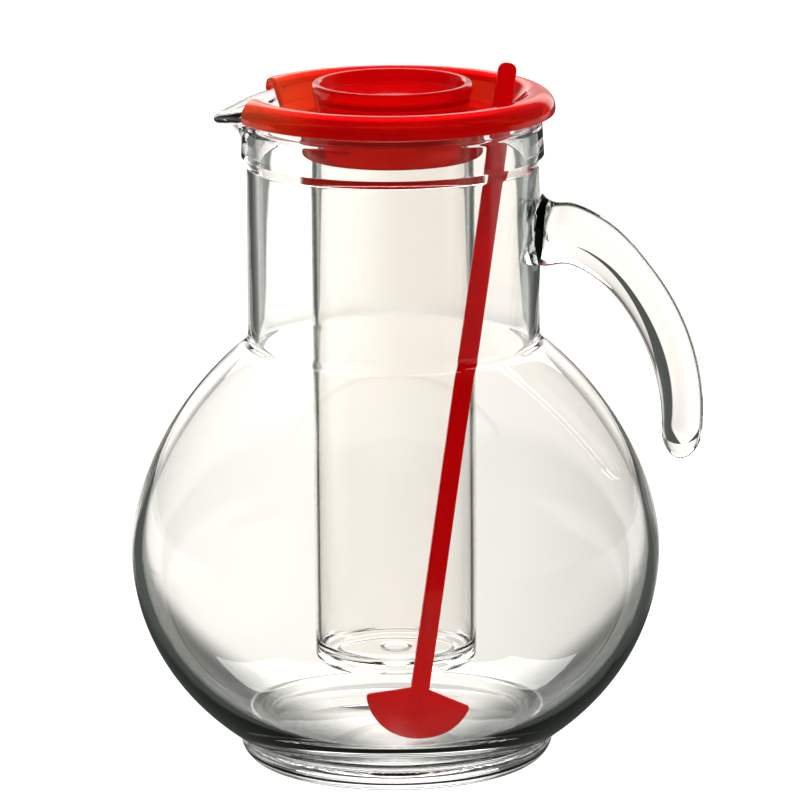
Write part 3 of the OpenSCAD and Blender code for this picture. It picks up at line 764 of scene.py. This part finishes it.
def paddleOutline():
    # lower part of a disc under a low gable
    s = stirrer
    r, w, end = s["paddleW"] / 2, s["barW"] / 2, s["paddleW"] / 2 - s["endFlat"]
    a = np.radians(np.linspace(s["discEnd"] - 180, -s["discEnd"], 60))
    disc = np.stack([r * np.cos(a), r + r * np.sin(a)], 1)
    disc = disc[disc[:, 1] < s["endH"] - s["endRound"]]
    gable = [disc[-1], (end, s["endH"]), (w, s["paddleH"]), (-w, s["paddleH"]), (-end, s["endH"]), disc[0]]
    top = roundCorners(gable, [0, s["endRound"], s["footRound"], s["footRound"], s["endRound"], 0], 6)
    return np.concatenate([disc[:-1], densify(top, 1.5)[:-1]])


barEnd = stirrerFrame()[-1]
barLine = barOutline(stirrer["barW"], stirrer["ribUp"], barEnd, stirrer["topRound"])
bar = addObject("stirrerBar", slabMesh("stirrerBar", barLine, stirrer["barT"], stirrer["barEdge"]))
paddle = slabMesh("paddlePart", paddleOutline(), stirrer["paddleT"], stirrer["paddleEdge"])
blade = addObject("paddlePart", paddle)
stirrerPiece = combine(bar, blade, "UNION", 50)
stirrerPiece.name = "stirrerBar"

# the slot is cut by a wider bar that reaches from below the dish to past the stirrer's top
slotLine = barOutline(lid["slotW"], barEnd - lid["slotReach"], barEnd + lid["slotOver"], lid["slotRound"])
slotCut = addObject("slotPart", slabMesh("slotPart", slotLine, lid["slotT"], lid["slotEdge"]))
lidPiece = combine(lidPiece, slotCut, "DIFFERENCE", 50)
place(lidPiece, "lid", "lid_plastic", lidRed, "lid")
place(stirrerPiece, "stirrer", "stirrer_plastic", stirrerRed, "stirrer")

# cap
cap = {
    "r": 24.8, "footR": 23.2, "h": 10.4, "rimW": 2.3, "recess": 4.0, "recessR": 21.3, "wall": 1.6,
    "plugR": 22.0, "plugH": 5.5, "rounds": (0, 1.4, 1.1, 1.1, 1.0, 0.3, 0.2, 0.5, 0.5, 1.2, 0),
}


def capLine():
    # section of the cap: recess, round rim, tapered side, foot on the dish, and the plug below
    c = cap
    top = dishZ + c["h"]
    floor = top - c["recess"]
    plugIn, plugZ = c["plugR"] - c["wall"], dishZ - c["plugH"]
    line = [(0, floor), (c["recessR"], floor), (c["r"] - c["rimW"], top), (c["r"], top),
            (c["r"], top - c["rimW"]), (c["footR"], dishZ), (c["plugR"], dishZ), (c["plugR"], plugZ),
            (plugIn, plugZ), (plugIn, floor - c["wall"]), (0, floor - c["wall"])]
    return densify(roundCorners(line, c["rounds"], 6), c["wall"])


capPiece = addObject("capCup", spunMesh("capCup", capLine()))
place(capPiece, "cap", "lid_plastic", lidRed, "tube_cap")

# ice tube
tube = {
    "r": 25.3, "wall": 1.6, "up": 18.6, "puntH": 3.1, "puntR": 19.6,
    "bossR": 4.2, "bossFoot": 4.7, "bossH": 1.5, "rounds": (0, 1.2, 0.6, 1.0, 1.2, 5.0, 0.4, 0.4, 3.4, 0),
    "lugs": 3, "lugOut": 1.4, "lugIn": 0.5, "lugH": 2.5, "lugAngle": 16.0, "lugDown": 4.5, "lugRound": 0.5,
    "topDown": 0.1,
}
tubeTop = underZ - tube["topDown"]
tubeZ = jug["floorZ"] + tube["up"]


def tubeLine():
    # section of the closed tube: boss and raised floor below, round heel, straight wall, and the inside
    t = tube
    z = tubeZ + t["puntH"]
    inR, inZ = t["r"] - t["wall"], z + t["wall"]
    line = [(0, z - t["bossH"]), (t["bossR"], z - t["bossH"]), (t["bossFoot"], z),
            (t["puntR"] - t["wall"], z), (t["puntR"], tubeZ), (t["r"], tubeZ), (t["r"], tubeTop),
            (inR, tubeTop), (inR, inZ), (0, inZ)]
    return densify(roundCorners(line, t["rounds"], 9), gap)


def lugMesh(k):
    # a piece of a ring with round edges that stands out of the tube's wall
    t = tube
    low, inR, outR = tubeTop - t["lugDown"] - t["lugH"], t["r"] - t["lugIn"], t["r"] + t["lugOut"]
    box = roundCorners([(inR, low), (outR, low), (outR, low + t["lugH"]), (inR, low + t["lugH"])],
                       [0, t["lugRound"], t["lugRound"], 0], 4, True)
    rows, n = 14, len(box)
    across = np.linspace(-t["lugAngle"] / 2, t["lugAngle"] / 2, rows)
    points = spin(box, np.radians(360 * k / t["lugs"] + across))
    ends = [list(range(n)), list(range((rows - 1) * n, rows * n))]
    return meshFrom("lugPart", points, gridFaces(rows, n, False, True).tolist() + ends)


tubePiece = addObject("iceTube", spunMesh("iceTube", tubeLine()))
for k in range(tube["lugs"]):
    tubePiece = combine(tubePiece, addObject("lugPart", lugMesh(k)), "UNION")
place(tubePiece, "tube", "tube_plastic", tubePlastic, "ice_tube")
print("pieces made")

# floor, light and camera
studio = {
    "floorSize": 3.0, "floorDown": 0.0002, "floorLit": 0.30, "floorGlow": 0.85, "seenGlow": 1.2,
    # the lit part of the floor that glass shows, in metres to the side (x) and back (y)
    "warmFade": (-0.04, 0.14), "highFade": (-0.06, 0.02), "highBack": (0.35, 0.8),
    "frontFade": (-0.13, 0.0), "glossBack": 0.10, "sideSpread": 0.47, "sideMost": 0.20,
    "sideFade": (0.010, 0.038), "farSpread": 0.55, "farFade": (0.12, 0.32),
    "seenLeft": (1.0, 0.965, 0.91), "seenRight": (0.70, 0.665, 0.63),
    "highLeft": (1.16, 1.12, 1.07), "highRight": (0.96, 0.90, 0.83),
    "seenDark": (0.07, 0.078, 0.07), "seenFar": (0.62, 0.62, 0.60),
    # the room, by how straight a direction points back, round, front or right
    "worldBack": 1.18, "backFade": (0.80, 0.97), "worldRound": 0.12, "roundFade": (0.0, 0.5),
    "worldFront": 0.01, "roomFront": (0.25, 0.8), "worldSide": 0.9, "sideWay": (0.62, 0.82),
    "worldWarm": (-0.3, 0.4),
    "mirrorBack": 2.4, "mirrorFade": (0.80, 0.90), "mirrorLow": (0.95, 0.98), "mirrorDim": 0.65,
    # the camera
    "azimuth": 7.6, "elevation": 12.5, "distance": 2.296, "aimZ": 0.1143, "lens": 331.65, "roll": -0.42,
    "shiftX": 0.0070, "sensor": 36, "clipEnd": 50,
}
azim, elev = math.radians(studio["azimuth"]), math.radians(studio["elevation"])
rightWay = Vector((math.cos(azim), math.sin(azim), 0))
backWay = Vector((-math.sin(azim), math.cos(azim), 0))


def axisValue(tree, vector, way):
    # how far a vector points along a fixed direction
    n = addNode(tree, "ShaderNodeVectorMath", {"operation": "DOT_PRODUCT"})["node"]
    tree.links.new(vector.socket, n.inputs[0])
    n.inputs[1].default_value = way
    return Wire(tree, n.outputs["Value"])


def mirrorShare(ray):
    # 1 for a true reflection: rays that glass lets through count as glossy too
    return ray["Is Glossy Ray"] * (1 - ray["Is Transmission Ray"])


def floorMaterial():
    # pale matt floor that keeps the shadow; reflections and glass see a trapezium of light behind the object
    # that turns from cream to warm grey and is brighter far back, with dark in front and beside it, and grey
    # far out
    material, tree, out = newMaterial("paleFloor")
    where = addNode(tree, "ShaderNodeTexCoord")["Object"]
    ray = addNode(tree, "ShaderNodeLightPath")
    x, y = axisValue(tree, where, rightWay), axisValue(tree, where, backWay)
    warm = mixColour(tree, x.step(*studio["warmFade"]), studio["seenLeft"], studio["seenRight"])
    high = mixColour(tree, x.step(*studio["highFade"]), studio["highLeft"], studio["highRight"])
    warm = mixColour(tree, y.step(*studio["highBack"]), warm, high)
    front = 1 - (y - mirrorShare(ray) * studio["glossBack"]).step(*studio["frontFade"])
    wide = y.maths("MINIMUM", y * studio["sideSpread"], studio["sideMost"])
    sides = (x.maths("ABSOLUTE", x) - wide).step(*studio["sideFade"])
    far = (x.maths("ABSOLUTE", x) - y * studio["farSpread"]).step(*studio["farFade"]) * (1 - front)
    dark = mixColour(tree, far, studio["seenDark"], studio["seenFar"])
    through = addNode(tree, "ShaderNodeEmission", None, Color=mixColour(tree, front.most(sides), warm, dark),
                      Strength=studio["seenGlow"])
    glow = addNode(tree, "ShaderNodeEmission", None, Color=(1, 1, 1),
                   Strength=ray["Is Camera Ray"] * studio["floorGlow"])
    lit = addNode(tree, "ShaderNodeBsdfDiffuse", None, Color=(studio["floorLit"],) * 3)
    both = addNode(tree, "ShaderNodeAddShader")
    tree.links.new(glow["Emission"].socket, both["node"].inputs[0])
    tree.links.new(lit["BSDF"].socket, both["node"].inputs[1])
    glassRay = ray["Is Glossy Ray"].most(ray["Is Transmission Ray"])
    pick = mixShader(tree, glassRay, both["Shader"], through["Emission"])
    tree.links.new(pick.socket, out.inputs["Surface"])
    return material


size, low = studio["floorSize"], -studio["floorDown"]
floorMesh = bpy.data.meshes.new("floor")
floorMesh.from_pydata([(-size, -size, low), (size, -size, low), (size, size, low), (-size, size, low)], [],
                      [(0, 1, 2, 3)])
floor = addObject("floor", floorMesh)
floor.data.materials.append(floorMaterial())

# the room: light from behind, a little all round and, for what shines through the glass, from the right; true
# reflections see a brighter band behind
world = bpy.data.worlds.new("studio")
bpy.context.scene.world = world
world.use_nodes = True
tree = world.node_tree
tree.nodes.clear()
way = addNode(tree, "ShaderNodeTexCoord")["Generated"]
ray = addNode(tree, "ShaderNodeLightPath")
back, right = axisValue(tree, way, backWay), axisValue(tree, way, rightWay)
mirrored = mirrorShare(ray)
band = back.step(*studio["mirrorFade"]) * (1 - back.step(*studio["mirrorLow"]) * studio["mirrorDim"])
level = back.step(*studio["backFade"]) * studio["worldBack"] * (1 - mirrored)
level = level + band * studio["mirrorBack"] * mirrored
level = level + back.step(*studio["roundFade"]) * studio["worldRound"]
level = level + (0 - back).step(*studio["roomFront"]) * studio["worldFront"]
level = level + right.step(*studio["sideWay"]) * ray["Is Transmission Ray"] * studio["worldSide"]
warm = mixColour(tree, right.step(*studio["worldWarm"]), studio["seenLeft"], studio["seenRight"])
room = addNode(tree, "ShaderNodeBackground", None, Color=warm, Strength=level)["Background"]
plain = addNode(tree, "ShaderNodeBackground", None, Color=(1, 1, 1), Strength=1.0)["Background"]
worldOut = addNode(tree, "ShaderNodeOutputWorld")["node"]
tree.links.new(mixShader(tree, ray["Is Camera Ray"], room, plain).socket, worldOut.inputs["Surface"])


# each lamp's place to the right, back and up, the height it faces, its width and height, and its watts
lamps = {
    "backBox": {"place": (0.0, 1.15, 1.0), "aimZ": 0.15, "size": (1.8, 1.1), "watts": 24, "seen": True},
    "topBox": {"place": (0.25, 0.1, 1.5), "aimZ": 0.12, "size": (1.4, 1.0), "watts": 22},
    "rightBox": {"place": (1.3, -0.7, 0.75), "aimZ": 0.15, "size": (0.5, 1.0), "watts": 7},
    "leftBox": {"place": (-1.3, -0.5, 0.6), "aimZ": 0.15, "size": (0.4, 1.0), "watts": 6},
}


def softBox(name, place, aimZ, size, watts, seen=False):
    # a large flat lamp that faces a point of the object's axis; glass shows it only if it is seen
    lamp = bpy.data.lights.new(name, "AREA")
    lamp.shape, lamp.size, lamp.size_y, lamp.energy = "RECTANGLE", size[0], size[1], watts
    box = addObject(name, lamp)
    box.location = rightWay * place[0] + backWay * place[1] + Vector((0, 0, place[2]))
    box.rotation_euler = (Vector((0, 0, aimZ)) - box.location).to_track_quat("-Z", "Y").to_euler()
    box.visible_glossy, box.visible_transmission = False, seen


for name, settings in lamps.items():
    softBox(name, **settings)

camera = addObject("camera", bpy.data.cameras.new("camera"))
aim = Vector((0, 0, studio["aimZ"]))
spot = aim + studio["distance"] * (-backWay * math.cos(elev) + Vector((0, 0, math.sin(elev))))
look = (aim - spot).to_track_quat("-Z", "Y").to_matrix().to_4x4()
camera.matrix_world = Matrix.Translation(spot) @ look @ Matrix.Rotation(math.radians(studio["roll"]), 4, "Z")
camera.data.sensor_width = studio["sensor"]
camera.data.lens = studio["lens"]
camera.data.shift_x = studio["shiftX"]
camera.data.clip_end = studio["clipEnd"]
bpy.context.scene.camera = camera
bpy.context.scene.view_settings.view_transform = "Standard"
